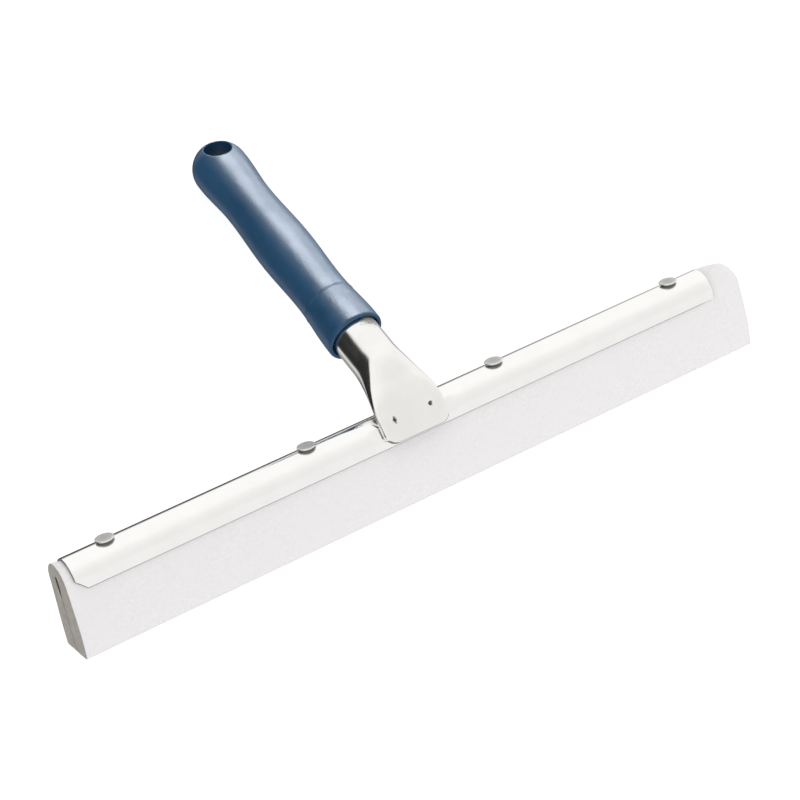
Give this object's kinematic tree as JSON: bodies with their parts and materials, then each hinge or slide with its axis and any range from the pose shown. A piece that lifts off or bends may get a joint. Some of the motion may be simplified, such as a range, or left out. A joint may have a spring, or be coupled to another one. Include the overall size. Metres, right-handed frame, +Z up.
{
  "type": "squeegee applicator",
  "caption": "Hand squeegee with a folded foam-rubber blade riveted into a bright steel rail, and a bent tube handle with a contoured plastic grip and hanging hole.",
  "frame": {"origin": "centre of the footprint of the tool as it lies on a table, on the surface of the table", "axes": "+X along the blade, +Y from the blade back towards the grip, +Z up from the table"},
  "size_m": [0.35, 0.204, 0.0535],
  "materials": {
    "rail_steel": "bright plated sheet steel",
    "foam_rubber": "white cellular foam rubber, matte",
    "strip_steel": "plain steel strip",
    "rivet_steel": "plated steel, satin",
    "tube_steel": "bright plated steel tube",
    "grip_plastic": "matte blue moulded plastic"
  },
  "bodies": {
    "root": {"rail": "rail_steel", "blade": "foam_rubber", "clamp_strip": "strip_steel", "rivet_1": "rivet_steel", "rivet_2": "rivet_steel", "rivet_3": "rivet_steel", "rivet_4": "rivet_steel", "handle_tube": "tube_steel", "grip": "grip_plastic"}
  },
  "joints": []
}
